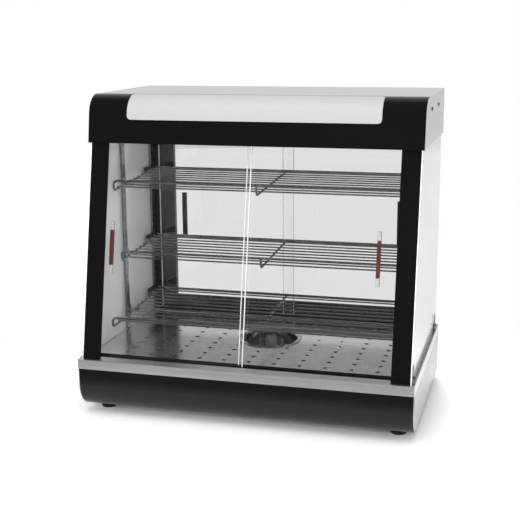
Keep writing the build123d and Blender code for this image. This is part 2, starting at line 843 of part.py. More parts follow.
# Rear sliding doors: upright panes with plain dark handles
for side, sign, pane_d in (("left", -1, rear_outer_pane_d), ("right", 1, rear_inner_pane_d)):
    low, high = side_span(sign, -rear_overlap, door_edge)
    pane_rear = pane_d + glass / 2
    with BuildPart() as rear_pane:
        prism(block(pane_d - glass / 2, pane_rear, rear_pane_bottom, pane_top), low, high)
    save(rear_pane.part, f"rear_door_{side}")
    with BuildPart() as rear_handle:
        prism(
            block(pane_rear, pane_rear + rear_handle_proud, handle_bottom + 10, handle_top + 8),
            sign * rear_handle_x - 5,
            sign * rear_handle_x + 5,
        )
        fillet(rear_handle.faces().sort_by(Axis.Y)[-1].edges(), 2.0)
    save(rear_handle.part, f"rear_handle_{side}")

# Hood outline: a leaning front, one bend and a flat roof
fascia_run = math.tan(math.radians(fascia_lean))
fascia_cos = math.cos(math.radians(fascia_lean))
fascia_sin = math.sin(math.radians(fascia_lean))
hood_bend = (overall_height - fascia_bend_height) / (1 - fascia_sin)
bend_start_d = fascia_d + (fascia_bend_height - hood_bottom) * fascia_run
hood_centre_d = bend_start_d + hood_bend * fascia_cos
hood_centre_z = fascia_bend_height - hood_bend * fascia_sin
half_turn = math.radians(90 + (90 - fascia_lean) / 2)


def hood_point(inset, angle):
    radius = hood_bend - inset
    return (y_of(hood_centre_d + radius * math.cos(angle)), hood_centre_z + radius * math.sin(angle))


def hood_edge(inset, back_d):
    start = (y_of(fascia_d + inset / fascia_cos), hood_bottom)
    bend_start = hood_point(inset, math.radians(180 - fascia_lean))
    bend_end = hood_point(inset, math.radians(90))
    Line(start, bend_start)
    ThreePointArc(bend_start, hood_point(inset, half_turn), bend_end)
    Line(bend_end, (y_of(back_d), overall_height - inset))


def fascia_shell(x_half):
    with BuildSketch(Plane.YZ.offset(-x_half)) as outline:
        with BuildLine():
            hood_edge(0, roof_seam_d)
            hood_edge(hood_skin, roof_seam_d)
            Line((y_of(fascia_d), hood_bottom), (y_of(fascia_d + hood_skin / fascia_cos), hood_bottom))
            Line((y_of(roof_seam_d), overall_height), (y_of(roof_seam_d), overall_height - hood_skin))
        make_face()
    extrude(outline.sketch, amount=2 * x_half)


# Window outline: the front cut and the top cut meet on the bend, with rounded far corners
def window_plug(gap):
    x_half = window_half - gap
    corner = window_corner - gap
    with BuildPart() as plug:
        low = window_bottom + gap
        high = window_join + 2 * window_corner
        with BuildSketch(Plane.XZ.offset(-y_of(fascia_d - 5))):
            with Locations((0, (low + high) / 2)):
                RectangleRounded(2 * x_half, high - low, corner)
            with Locations((0, window_join + window_corner)):
                Rectangle(2 * x_half, 2 * window_corner, mode=Mode.SUBTRACT)
        extrude(amount=-35)
        low_y = y_of(fascia_d - 5)
        high_y = y_of(window_back_d - gap)
        with BuildSketch(Plane.XY.offset(window_join)):
            with Locations((0, (low_y - corner + high_y) / 2)):
                RectangleRounded(2 * x_half, high_y - low_y + corner, corner)
            with Locations((0, low_y - corner / 2)):
                Rectangle(2 * x_half, corner, mode=Mode.SUBTRACT)
        extrude(amount=overall_height - window_join + 5)
    return plug.part


window_cut = window_plug(0)
window_fill = window_plug(touch_gap)

# Fascia: black front sheet of the hood with the lamp window cut out
with BuildPart() as hood_fascia:
    fascia_shell(hood_half)
    add(window_cut, mode=Mode.SUBTRACT)
save(hood_fascia.part, "hood_fascia")

# Diffuser: white sheet that fills the window and follows the bend
with BuildPart() as light_diffuser:
    fascia_shell(window_half)
    add(window_fill, mode=Mode.INTERSECT)
save(light_diffuser.part, "light_diffuser")

# Roof: top sheet folded down at the rear
with BuildPart() as hood_roof:
    prism(
        block(roof_seam_d + touch_gap, cabinet_depth, overall_height - hood_skin, overall_height),
        -hood_half,
        hood_half,
    )
    prism(block(cabinet_depth - hood_skin, cabinet_depth, hood_bottom, overall_height), -hood_half, hood_half)
save(hood_roof.part, "hood_roof")

# Hood sides: sheets that follow the fascia curve
hood_inset = hood_skin + touch_gap
hood_back_d = cabinet_depth - hood_skin
for side, sign in (("left", -1), ("right", 1)):
    low, high = side_span(sign, hood_half - sheet, hood_half)
    with BuildPart() as hood_side:
        with BuildSketch(Plane.YZ.offset(low)):
            with BuildLine():
                hood_edge(hood_inset, hood_back_d)
                Polyline(
                    (y_of(hood_back_d), overall_height - hood_inset),
                    (y_of(hood_back_d), hood_bottom),
                    (y_of(fascia_d + hood_inset / fascia_cos), hood_bottom),
                )
            make_face()
        extrude(amount=sheet)
    save(hood_side.part, f"hood_side_{side}")

# Ceiling: inner sheet of the hood, which rests on pillars, posts and uprights
with BuildPart() as hood_ceiling:
    ceiling_front_d = fascia_d + (frame_lap + sheet) * fascia_run + hood_inset / fascia_cos
    prism(block(ceiling_front_d, hood_back_d, frame_top, frame_top + sheet), -hood_half + sheet, hood_half - sheet)
save(hood_ceiling.part, "hood_ceiling")

# Lamp: a straight tube along the hood, held at both ends
with BuildPart() as lamp_tube:
    with BuildSketch(Plane.YZ.offset(-lamp_half)):
        with Locations((y_of(lamp_d), lamp_height)):
            Circle(lamp_radius)
    extrude(amount=2 * lamp_half)
save(lamp_tube.part, "lamp_tube")

with BuildPart() as lamp_holders:
    for sign in (-1, 1):
        low, high = side_span(sign, lamp_half, lamp_half + lamp_holder_width)
        prism(
            block(lamp_d - 12, lamp_d + 12, frame_top + sheet, lamp_height + lamp_radius + 5),
            low,
            high,
        )
save(lamp_holders.part, "lamp_holders")

# Hood screws: two round heads on each side sheet
screw_height = overall_height - 26.0
screw_d = (192.0, cabinet_depth - 112.0)
screw_radius = 4.0
with BuildPart() as hood_screws:
    for sign in (-1, 1):
        low, high = side_span(sign, hood_half, hood_half + 1.8)
        with BuildSketch(Plane.YZ.offset(low)):
            with Locations([(y_of(d), screw_height) for d in screw_d]):
                Circle(screw_radius)
        extrude(amount=1.8)
save(hood_screws.part, "hood_screws")
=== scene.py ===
import math

import bmesh
import bpy
from mathutils import Matrix, Vector


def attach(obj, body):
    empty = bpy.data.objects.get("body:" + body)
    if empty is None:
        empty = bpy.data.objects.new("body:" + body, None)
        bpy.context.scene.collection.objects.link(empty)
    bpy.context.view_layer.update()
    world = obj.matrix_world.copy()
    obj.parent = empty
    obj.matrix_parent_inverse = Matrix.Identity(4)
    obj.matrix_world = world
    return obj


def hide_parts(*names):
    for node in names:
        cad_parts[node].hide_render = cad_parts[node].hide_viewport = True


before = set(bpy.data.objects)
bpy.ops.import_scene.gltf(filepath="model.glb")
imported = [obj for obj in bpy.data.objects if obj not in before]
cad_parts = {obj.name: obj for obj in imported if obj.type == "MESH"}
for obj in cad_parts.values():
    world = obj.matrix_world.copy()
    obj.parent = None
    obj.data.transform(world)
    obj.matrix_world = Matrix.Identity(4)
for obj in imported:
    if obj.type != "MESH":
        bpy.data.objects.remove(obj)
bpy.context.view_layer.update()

# Studio lamps: five soft boxes round the cabinet, the largest above its front.
# The steel and the glass mirror the room round them, so the lamps themselves stay out of view.
lamp_plan = (
    # name, place, point it is aimed at, side of the box in metres, watts
    ("softbox_top", (0.1, -0.9, 2.3), (0.0, 0.0, 0.3), 1.9, 30.0),
    ("softbox_left", (-2.3, -1.3, 1.3), (0.0, 0.0, 0.35), 1.3, 16.0),
    ("softbox_right", (2.4, -0.6, 1.2), (0.0, 0.0, 0.35), 1.2, 1.5),
    ("softbox_rear", (0.0, 1.6, 0.7), (-0.3, 0.0, 0.33), 0.6, 40.0),
    ("softbox_front", (0.2, -1.6, 0.7), (-0.3, 0.0, 0.33), 0.7, 12.0),
)
for lamp_name, lamp_place, lamp_target, lamp_side, watts in lamp_plan:
    lamp = bpy.data.lights.new(lamp_name, "AREA")
    lamp.shape = "SQUARE"
    lamp.size = lamp_side
    lamp.energy = watts
    lamp_object = bpy.data.objects.new(lamp_name, lamp)
    lamp_object.location = lamp_place
    aim = Vector(lamp_target) - Vector(lamp_place)
    lamp_object.rotation_euler = aim.to_track_quat("-Z", "Y").to_euler()
    lamp_object.visible_glossy = False
    lamp_object.visible_transmission = False
    bpy.context.collection.objects.link(lamp_object)


# Studio room: soft white light from all sides, and plain white where the camera looks past
# the cabinet. Steel and glass mirror a room with a dim end in front and a pale one behind.
def new_node(tree, kind, values=None, **settings):
    node = tree.nodes.new(kind)
    for key, value in settings.items():
        setattr(node, key, value)
    for key, value in (values or {}).items():
        node.inputs[key].default_value = value
    return node


def join(tree, *pairs):
    for source, target in pairs:
        tree.links.new(source, target)


white = (1.0, 1.0, 1.0, 1.0)
room_light_colour = (0.98, 0.99, 1.0, 1.0)
room_light_strength = 0.75
dim_end = {"From Min": -0.10, "To Min": 0.16}
pale_end = {"From Max": 0.70, "To Max": 0.84}
world = bpy.data.worlds.new("white_room")
bpy.context.scene.world = world
world.use_nodes = True
room = world.node_tree
room.nodes.clear()
ray = new_node(room, "ShaderNodeLightPath")
direction = new_node(room, "ShaderNodeTexCoord")
axes = new_node(room, "ShaderNodeSeparateXYZ")
ends = new_node(room, "ShaderNodeMapRange", {**dim_end, **pale_end}, interpolation_type="SMOOTHSTEP")
mirrored = new_node(room, "ShaderNodeBackground")
lighting = new_node(
    room, "ShaderNodeBackground", {"Color": room_light_colour, "Strength": room_light_strength}
)
seen = new_node(room, "ShaderNodeBackground", {"Color": white, "Strength": 1.0})
is_mirrored = new_node(room, "ShaderNodeMath", operation="MAXIMUM")
mirror_choice = new_node(room, "ShaderNodeMixShader")
camera_choice = new_node(room, "ShaderNodeMixShader")
room_out = new_node(room, "ShaderNodeOutputWorld")
join(
    room,
    (direction.outputs["Generated"], axes.inputs["Vector"]),
    (axes.outputs["Y"], ends.inputs["Value"]),
    (ends.outputs["Result"], mirrored.inputs["Strength"]),
    (ray.outputs["Is Glossy Ray"], is_mirrored.inputs[0]),
    (ray.outputs["Is Transmission Ray"], is_mirrored.inputs[1]),
    (is_mirrored.outputs[0], mirror_choice.inputs["Fac"]),
    (lighting.outputs[0], mirror_choice.inputs[1]),
    (mirrored.outputs[0], mirror_choice.inputs[2]),
    (ray.outputs["Is Camera Ray"], camera_choice.inputs["Fac"]),
    (mirror_choice.outputs[0], camera_choice.inputs[1]),
    (seen.outputs[0], camera_choice.inputs[2]),
    (camera_choice.outputs[0], room_out.inputs["Surface"]),
)

# Studio floor: a round pale table top that takes the cabinet's shadow and fades to white.
# What steel and glass mirror of it is a little dimmer, and only there it ends in a dark band in
# front of the cabinet, a painted reflection.
floor_sides = 96
floor_radius = 4.5
floor_grey = (0.90, 0.90, 0.90, 1.0)
fade_reach = {"From Min": 0.30, "From Max": 0.75}
mirrored_white = 0.84
# Painted reflection: a dark grey glow on the floor in front of the cabinet, seen only by glossy and
# transmission rays.
mirrored_dark_reach = {"From Min": -0.37, "From Max": -0.43}
mirrored_dark_grey = (0.24, 0.24, 0.24, 1.0)
ring = []
for i in range(floor_sides):
    turn = 2 * math.pi * i / floor_sides
    ring.append((floor_radius * math.cos(turn), floor_radius * math.sin(turn), 0.0))
floor_mesh = bpy.data.meshes.new("studio_floor")
floor_mesh.from_pydata(ring, [], [list(range(floor_sides))])
floor = bpy.data.objects.new("studio_floor", floor_mesh)
bpy.context.collection.objects.link(floor)
floor_paint = bpy.data.materials.new("pale_floor")
floor_paint.use_nodes = True
tree = floor_paint.node_tree
shader = tree.nodes["Principled BSDF"]
shader.inputs["Base Color"].default_value = floor_grey
shader.inputs["Roughness"].default_value = 0.6
shader.inputs["Specular IOR Level"].default_value = 0.2
ray = new_node(tree, "ShaderNodeLightPath")
place = new_node(tree, "ShaderNodeNewGeometry")
distance = new_node(tree, "ShaderNodeVectorMath", operation="LENGTH")
fade = new_node(tree, "ShaderNodeMapRange", fade_reach, interpolation_type="SMOOTHSTEP")
glow_strength = new_node(tree, "ShaderNodeMapRange", {"To Min": mirrored_white})
glow = new_node(tree, "ShaderNodeEmission", {"Color": white})
is_mirrored = new_node(tree, "ShaderNodeMath", operation="MAXIMUM")
is_seen = new_node(tree, "ShaderNodeMath", operation="MAXIMUM")
glow_amount = new_node(tree, "ShaderNodeMath", operation="MULTIPLY")
glow_mix = new_node(tree, "ShaderNodeMixShader")
axes = new_node(tree, "ShaderNodeSeparateXYZ")
mirrored_dark_fade = new_node(tree, "ShaderNodeMapRange", mirrored_dark_reach, interpolation_type="SMOOTHSTEP")
mirrored_dark_amount = new_node(tree, "ShaderNodeMath", operation="MULTIPLY")
mirrored_dark_glow = new_node(tree, "ShaderNodeEmission", {"Color": mirrored_dark_grey})
mirrored_dark_mix = new_node(tree, "ShaderNodeMixShader")
join(
    tree,
    (ray.outputs["Is Glossy Ray"], is_mirrored.inputs[0]),
    (ray.outputs["Is Transmission Ray"], is_mirrored.inputs[1]),
    (ray.outputs["Is Camera Ray"], is_seen.inputs[0]),
    (is_mirrored.outputs[0], is_seen.inputs[1]),
    (ray.outputs["Is Camera Ray"], glow_strength.inputs["Value"]),
    (glow_strength.outputs["Result"], glow.inputs["Strength"]),
    (place.outputs["Position"], distance.inputs[0]),
    (distance.outputs["Value"], fade.inputs["Value"]),
    (fade.outputs["Result"], glow_amount.inputs[0]),
    (is_seen.outputs[0], glow_amount.inputs[1]),
    (glow_amount.outputs[0], glow_mix.inputs["Fac"]),
    (shader.outputs[0], glow_mix.inputs[1]),
    (glow.outputs[0], glow_mix.inputs[2]),
    (place.outputs["Position"], axes.inputs["Vector"]),
    (axes.outputs["Y"], mirrored_dark_fade.inputs["Value"]),
    (mirrored_dark_fade.outputs["Result"], mirrored_dark_amount.inputs[0]),
    (is_mirrored.outputs[0], mirrored_dark_amount.inputs[1]),
    (mirrored_dark_amount.outputs[0], mirrored_dark_mix.inputs["Fac"]),
    (glow_mix.outputs[0], mirrored_dark_mix.inputs[1]),
    (mirrored_dark_glow.outputs[0], mirrored_dark_mix.inputs[2]),
    (mirrored_dark_mix.outputs[0], tree.nodes["Material Output"].inputs["Surface"]),
)
floor.data.materials.append(floor_paint)

# Camera: stands to the right of the cabinet and a little above it, as the photographer did.
# Its place, turn, tip, roll and lens were fitted to the cabinet's straight edges in the photo.
camera_place = Vector((0.5339, -1.9921, 0.7495))
camera_turn = math.radians(15.47)
camera_tip = math.radians(12.72)
camera_roll = math.radians(-0.44)
focal_pixels = 1033.6
frame_pixels = 520.0
sensor_width = 36.0
ahead = Vector((
    -math.sin(camera_turn) * math.cos(camera_tip),
    math.cos(camera_turn) * math.cos(camera_tip),
    -math.sin(camera_tip),
))
level_right = ahead.cross(Vector((0.0, 0.0, 1.0))).normalized()
level_up = level_right.cross(ahead).normalized()
right = level_right * math.cos(camera_roll) + level_up * math.sin(camera_roll)
up = level_up * math.cos(camera_roll) - level_right * math.sin(camera_roll)
camera_data = bpy.data.cameras.new("photo_camera")
camera_data.sensor_fit = "HORIZONTAL"
camera_data.sensor_width = sensor_width
camera_data.lens = sensor_width * focal_pixels / frame_pixels
camera_data.clip_start = 0.05
camera_data.clip_end = 50.0
camera = bpy.data.objects.new("photo_camera", camera_data)
turning = Matrix((right, up, -ahead)).transposed().to_4x4()
camera.matrix_world = Matrix.Translation(camera_place) @ turning
bpy.context.collection.objects.link(camera)
bpy.context.scene.camera = camera
bpy.context.scene.view_settings.view_transform = "Standard"


# Floor tray of the base: zinc-coated sheet, folded up all round. It carries every other piece.
# The brackets that hold the heating element are stamped from the same sheet and spot welded.
def new_group(name, inputs, outputs):
    group = bpy.data.node_groups.new(name, "ShaderNodeTree")
    for socket_name, socket_type, value in inputs:
        socket = group.interface.new_socket(socket_name, in_out="INPUT", socket_type=socket_type)
        socket.default_value = value
    for socket_name, socket_type in outputs:
        group.interface.new_socket(socket_name, in_out="OUTPUT", socket_type=socket_type)
    entry = group.nodes.new("NodeGroupInput")
    leave = group.nodes.new("NodeGroupOutput")
    return group, entry, leave


brushed_grain, entry, leave = new_group(
    "brushed_grain",
    (
        ("Streaks", "NodeSocketVector", (4.0, 900.0, 900.0)),
        ("Roughness", "NodeSocketFloat", 0.3),
        ("Spread", "NodeSocketFloat", 0.12),
        ("Depth", "NodeSocketFloat", 0.15),
        ("Edge Radius", "NodeSocketFloat", 0.0006),
    ),
    (
        ("Roughness", "NodeSocketFloat"),
        ("Normal", "NodeSocketVector"),
        ("Streak", "NodeSocketFloat"),
    ),
)
tree = brushed_grain
place = new_node(tree, "ShaderNodeTexCoord")
stretch = new_node(tree, "ShaderNodeVectorMath", operation="MULTIPLY")
fine = new_node(tree, "ShaderNodeTexNoise", {"Scale": 1.0, "Detail": 3.0})
bloom = new_node(tree, "ShaderNodeTexNoise", {"Scale": 7.0, "Detail": 4.0, "Roughness": 0.6})
fine_centred = new_node(tree, "ShaderNodeMath", {1: 0.5}, operation="SUBTRACT")
bloom_centred = new_node(tree, "ShaderNodeMath", {1: 0.5}, operation="SUBTRACT")
both = new_node(tree, "ShaderNodeMath", operation="ADD")
spread_sum = new_node(tree, "ShaderNodeMath", operation="MULTIPLY_ADD")
rounding = new_node(tree, "ShaderNodeBevel", samples=4)
relief = new_node(tree, "ShaderNodeBump", {"Distance": 0.0002})
join(
    tree,
    (place.outputs["Object"], stretch.inputs[0]),
    (entry.outputs["Streaks"], stretch.inputs[1]),
    (stretch.outputs[0], fine.inputs["Vector"]),
    (place.outputs["Object"], bloom.inputs["Vector"]),
    (fine.outputs["Fac"], fine_centred.inputs[0]),
    (bloom.outputs["Fac"], bloom_centred.inputs[0]),
    (fine_centred.outputs[0], both.inputs[0]),
    (bloom_centred.outputs[0], both.inputs[1]),
    (both.outputs[0], spread_sum.inputs[0]),
    (entry.outputs["Spread"], spread_sum.inputs[1]),
    (entry.outputs["Roughness"], spread_sum.inputs[2]),
    (spread_sum.outputs[0], leave.inputs["Roughness"]),
    (entry.outputs["Edge Radius"], rounding.inputs["Radius"]),
    (rounding.outputs[0], relief.inputs["Normal"]),
    (entry.outputs["Depth"], relief.inputs["Strength"]),
    (fine.outputs["Fac"], relief.inputs["Height"]),
    (relief.outputs[0], leave.inputs["Normal"]),
    (fine.outputs["Fac"], leave.inputs["Streak"]),
)


def sheet_metal(name, dark, light, roughness, streaks, spread=0.12, depth=0.15, edge=0.0006):
    material = bpy.data.materials.new(name)
    material.use_nodes = True
    tree = material.node_tree
    shader = tree.nodes["Principled BSDF"]
    shader.inputs["Metallic"].default_value = 1.0
    grain_values = {
        "Streaks": streaks,
        "Roughness": roughness,
        "Spread": spread,
        "Depth": depth,
        "Edge Radius": edge,
    }
    grain = new_node(tree, "ShaderNodeGroup", grain_values, node_tree=brushed_grain)
    tint_values = {"A": (*dark, 1.0), "B": (*light, 1.0)}
    tint = new_node(tree, "ShaderNodeMix", tint_values, data_type="RGBA")
    join(
        tree,
        (grain.outputs["Streak"], tint.inputs["Factor"]),
        (tint.outputs["Result"], shader.inputs["Base Color"]),
        (grain.outputs["Roughness"], shader.inputs["Roughness"]),
        (grain.outputs["Normal"], shader.inputs["Normal"]),
    )
    return material


def dress(material, *names):
    for name in names:
        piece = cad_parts[name]
        if not piece.material_slots:
            piece.data.materials.append(material)
        for slot in piece.material_slots:
            slot.material = material


tray_steel = sheet_metal(
    "zinc_coated_tray",
    dark=(0.36, 0.37, 0.38), light=(0.55, 0.56, 0.57),
    roughness=0.42, spread=0.25, streaks=(60.0, 60.0, 60.0),
)
dress(tray_steel, "base_bottom_pan", "element_brackets")

# Side sheets of the base: brushed stainless sheet, cut to the bent outline and spot welded to
# the tray. The grain runs from front to back, with the faint bloom that hands leave.
base_steel = sheet_metal(
    "brushed_base_steel",
    dark=(0.40, 0.40, 0.40), light=(0.64, 0.64, 0.64),
    roughness=0.30, spread=0.16, depth=0.2, streaks=(150.0, 2.5, 150.0),
)
dress(base_steel, "base_side_left", "base_side_right")

# Rear panel of the base: brushed stainless sheet with punched vent slots and cut-outs for the
# controls. It closes the base last, once the wiring is in.
grain_along_x = (5.0, 1100.0, 1100.0)
rear_steel = sheet_metal(
    "brushed_rear_steel",
    dark=(0.58, 0.58, 0.58), light=(0.76, 0.76, 0.76),
    roughness=0.32, streaks=grain_along_x,
)
dress(rear_steel, "base_rear_panel")

# Front panel of the base: steel sheet, rolled under at the bottom, with a baked gloss enamel.
# The enamel has a slight orange peel and fine dust, and its folds are rounded a little.
gloss_enamel, entry, leave = new_group(
    "gloss_enamel",
    (
        ("Roughness", "NodeSocketFloat", 0.12),
        ("Dust", "NodeSocketFloat", 0.10),
        ("Peel", "NodeSocketFloat", 0.05),
        ("Edge Radius", "NodeSocketFloat", 0.0008),
        ("Body", "NodeSocketColor", (0.006, 0.006, 0.007, 1.0)),
        ("Haze", "NodeSocketColor", (0.02, 0.02, 0.022, 1.0)),
    ),
    (
        ("Color", "NodeSocketColor"),
        ("Roughness", "NodeSocketFloat"),
        ("Normal", "NodeSocketVector"),
    ),
)
tree = gloss_enamel
place = new_node(tree, "ShaderNodeTexCoord")
smear = new_node(tree, "ShaderNodeTexNoise", {"Scale": 9.0, "Detail": 5.0})
specks = new_node(tree, "ShaderNodeTexNoise", {"Scale": 420.0, "Detail": 2.0})
speck_mask = new_node(tree, "ShaderNodeMapRange", {"From Min": 0.62, "From Max": 0.80})
peel = new_node(tree, "ShaderNodeTexNoise", {"Scale": 650.0, "Detail": 1.0})
rounding = new_node(tree, "ShaderNodeBevel", samples=4)
relief = new_node(tree, "ShaderNodeBump", {"Distance": 0.0002})
dust_amount = new_node(tree, "ShaderNodeMath", operation="MULTIPLY")
rough_sum = new_node(tree, "ShaderNodeMath", operation="MULTIPLY_ADD")
haze = new_node(tree, "ShaderNodeMix", data_type="RGBA")
join(
    tree,
    (place.outputs["Object"], smear.inputs["Vector"]),
    (place.outputs["Object"], specks.inputs["Vector"]),
    (place.outputs["Object"], peel.inputs["Vector"]),
    (specks.outputs["Fac"], speck_mask.inputs["Value"]),
    (speck_mask.outputs["Result"], dust_amount.inputs[0]),
    (entry.outputs["Dust"], dust_amount.inputs[1]),
    (smear.outputs["Fac"], rough_sum.inputs[0]),
    (entry.outputs["Dust"], rough_sum.inputs[1]),
    (entry.outputs["Roughness"], rough_sum.inputs[2]),
    (rough_sum.outputs[0], leave.inputs["Roughness"]),
    (dust_amount.outputs[0], haze.inputs["Factor"]),
    (entry.outputs["Body"], haze.inputs["A"]),
    (entry.outputs["Haze"], haze.inputs["B"]),
    (haze.outputs["Result"], leave.inputs["Color"]),
    (entry.outputs["Edge Radius"], rounding.inputs["Radius"]),
    (rounding.outputs[0], relief.inputs["Normal"]),
    (entry.outputs["Peel"], relief.inputs["Strength"]),
    (peel.outputs["Fac"], relief.inputs["Height"]),
    (relief.outputs[0], leave.inputs["Normal"]),
)


def enamel(name, body, dusty, roughness, dust, peel_depth, specular):
    material = bpy.data.materials.new(name)
    material.use_nodes = True
    tree = material.node_tree
    shader = tree.nodes["Principled BSDF"]
    shader.inputs["Specular IOR Level"].default_value = specular
    skin_values = {
        "Body": (*body, 1.0),
        "Haze": (*dusty, 1.0),
        "Roughness": roughness,
        "Dust": dust,
        "Peel": peel_depth,
    }
    skin = new_node(tree, "ShaderNodeGroup", skin_values, node_tree=gloss_enamel)
    join(
        tree,
        (skin.outputs["Color"], shader.inputs["Base Color"]),
        (skin.outputs["Roughness"], shader.inputs["Roughness"]),
        (skin.outputs["Normal"], shader.inputs["Normal"]),
    )
    return material


black_enamel = enamel(
    "black_enamel",
    body=(0.0035, 0.003, 0.0035), dusty=(0.03, 0.03, 0.03),
    roughness=0.10, dust=0.08, peel_depth=0.03, specular=0.32,
)
dress(black_enamel, "base_front_panel")

# Feet: four black rubber pads, moulded, each held to the tray by a screw through its middle.
# They lift the base off the table so that air can get in under the heating element.
foot_rubber = enamel(
    "foot_rubber",
    body=(0.012, 0.012, 0.012), dusty=(0.08, 0.08, 0.08),
    roughness=0.62, dust=0.25, peel_depth=0.25, specular=0.3,
)
dress(foot_rubber, "feet")

# Heating element: a steel-sheathed tube bent to a long U under the deck, held by its brackets.
# Its own heat has tinted it straw and brown.
heater_steel = sheet_metal(
    "heat_tinted_tube",
    dark=(0.16, 0.12, 0.10), light=(0.34, 0.28, 0.22),
    roughness=0.38, spread=0.2, streaks=(30.0, 30.0, 30.0),
)
dress(heater_steel, "heating_element")

# Rim: a folded frame of bright brushed stainless sheet that closes the base. Panels, posts and
# pillars stand on it, and the front door track lies in the recess behind its front face.
rim_steel = sheet_metal(
    "brushed_rim_steel",
    dark=(0.66, 0.66, 0.65), light=(1.0, 1.0, 1.0),
    roughness=0.36, spread=0.18, depth=0.25, streaks=(2.5, 220.0, 220.0),
)
dress(rim_steel, "rim_frame")

# Deck: the cabinet's floor of bright stainless sheet, punched with rows of small holes for the
# warm air and one round opening for the cup. It lies on the rim's inner ledge.
deck_steel = sheet_metal(
    "punched_deck_steel",
    dark=(0.66, 0.66, 0.66), light=(1.0, 1.0, 1.0),
    roughness=0.19, spread=0.10, depth=0.10, streaks=(3.0, 330.0, 330.0),
)
dress(deck_steel, "deck_plate")

# Water cup: a round cup spun from stainless sheet and polished, with a flat lip all round.
# It hangs by that lip in the deck's opening, and it lifts out to be filled.
# The grain is the steel's own. Its tone, darker than the deck's, is painted shade for the dark
# inside of the cup.
cup_steel_painted_shade = sheet_metal(
    "spun_cup_steel_painted_shade",
    dark=(0.40, 0.40, 0.40), light=(0.64, 0.64, 0.64),
    roughness=0.08, spread=0.08, depth=0.05, streaks=(160.0, 160.0, 12.0),
)
dress(cup_steel_painted_shade, "water_pan")

# Controls: thermostat, switches and mains inlet are moulded in black plastic and clipped into
# the rear panel. The rockers are smoother than their housings, and the pilot lens is clear red.
moulded_skin, entry, leave = new_group(
    "moulded_skin",
    (
        ("Darker", "NodeSocketColor", (0.2, 0.2, 0.2, 1.0)),
        ("Lighter", "NodeSocketColor", (0.3, 0.3, 0.3, 1.0)),
        ("Smoothest", "NodeSocketFloat", 0.3),
        ("Roughest", "NodeSocketFloat", 0.5),
    ),
    (
        ("Color", "NodeSocketColor"),
        ("Roughness", "NodeSocketFloat"),
        ("Normal", "NodeSocketVector"),
    ),
)
tree = moulded_skin
place = new_node(tree, "ShaderNodeTexCoord")
cloud = new_node(tree, "ShaderNodeTexNoise", {"Scale": 60.0, "Detail": 3.0})
tint = new_node(tree, "ShaderNodeMix", data_type="RGBA")
rough = new_node(tree, "ShaderNodeMapRange")
rounding = new_node(tree, "ShaderNodeBevel", {"Radius": 0.0006}, samples=4)
relief = new_node(tree, "ShaderNodeBump", {"Strength": 0.08, "Distance": 0.0003})
join(
    tree,
    (place.outputs["Object"], cloud.inputs["Vector"]),
    (cloud.outputs["Fac"], tint.inputs["Factor"]),
    (entry.outputs["Darker"], tint.inputs["A"]),
    (entry.outputs["Lighter"], tint.inputs["B"]),
    (tint.outputs["Result"], leave.inputs["Color"]),
    (cloud.outputs["Fac"], rough.inputs["Value"]),
    (entry.outputs["Smoothest"], rough.inputs["To Min"]),
    (entry.outputs["Roughest"], rough.inputs["To Max"]),
    (rough.outputs["Result"], leave.inputs["Roughness"]),
    (cloud.outputs["Fac"], relief.inputs["Height"]),
    (rounding.outputs[0], relief.inputs["Normal"]),
    (relief.outputs[0], leave.inputs["Normal"]),
)


def moulded(name, colour, roughness, transmission, variation):
    material = bpy.data.materials.new(name)
    material.use_nodes = True
    tree = material.node_tree
    shader = tree.nodes["Principled BSDF"]
    shader.inputs["Transmission Weight"].default_value = transmission
    shader.inputs["IOR"].default_value = 1.49
    skin_values = {
        "Darker": (*[c * (1 - variation) for c in colour], 1.0),
        "Lighter": (*[min(1.0, c * (1 + variation)) for c in colour], 1.0),
        "Smoothest": roughness * 0.8,
        "Roughest": roughness * 1.3,
    }
    skin = new_node(tree, "ShaderNodeGroup", skin_values, node_tree=moulded_skin)
    join(
        tree,
        (skin.outputs["Color"], shader.inputs["Base Color"]),
        (skin.outputs["Roughness"], shader.inputs["Roughness"]),
        (skin.outputs["Normal"], shader.inputs["Normal"]),
    )
    return material


control_black = moulded(
    "black_moulded_plastic", (0.014, 0.014, 0.014), roughness=0.42, transmission=0.0, variation=0.25
)
rocker_black = moulded(
    "black_rocker", (0.02, 0.02, 0.02), roughness=0.28, transmission=0.0, variation=0.2
)
pilot_red = moulded(
    "red_pilot_lens", (0.55, 0.02, 0.012), roughness=0.15, transmission=0.3, variation=0.2
)
dress(control_black, "thermostat_body", "thermostat_knob", "power_inlet")
dress(control_black, "power_switch_body", "light_switch_body")
dress(rocker_black, "power_rocker", "light_rocker")
dress(pilot_red, "indicator_lamp")

# Pillars, posts and rear bar: steel in the front panel's black enamel. The pillars are plates
# that lean with the front glass; pillars and posts carry the hood, and the bar joins the posts.
dress(black_enamel, "front_pillar_left", "front_pillar_right")
dress(black_enamel, "rear_post_left", "rear_post_right", "rear_bar")

# Side panels: flat steel sheets with a pale satin enamel on both faces, cut to the lean of the
# front. They reach from the pillars to the posts, held to the rim by rails along their foot.
pale_enamel = enamel(
    "pale_side_enamel",
    body=(0.78, 0.78, 0.79), dusty=(0.66, 0.66, 0.66),
    roughness=0.12, dust=0.06, peel_depth=0.02, specular=0.14,
)
dress(pale_enamel, "side_panel_left", "side_panel_right")

# Side rails and clips: a bent strip of stamped stainless steel along the foot of each panel,
# and a small stamped hook at each end of it that holds the panel to the rim.
grain_along_z = (1100.0, 1100.0, 5.0)
fitting_steel = sheet_metal(
    "stamped_steel",
    dark=(0.28, 0.28, 0.28), light=(0.44, 0.44, 0.44),
    roughness=0.26, spread=0.15, depth=0.10, streaks=grain_along_z,
)
dress(fitting_steel, "side_rail_left", "side_rail_right", "side_clips")

# Uprights and shelf hooks: four shallow folded channels on the side panels, slotted towards
# the shelves, and bent plates on them with a tongue under each side wire. Same stamped steel.
dress(fitting_steel, "upright_front_left", "upright_front_right")
dress(fitting_steel, "upright_rear_left", "upright_rear_right", "shelf_hooks")
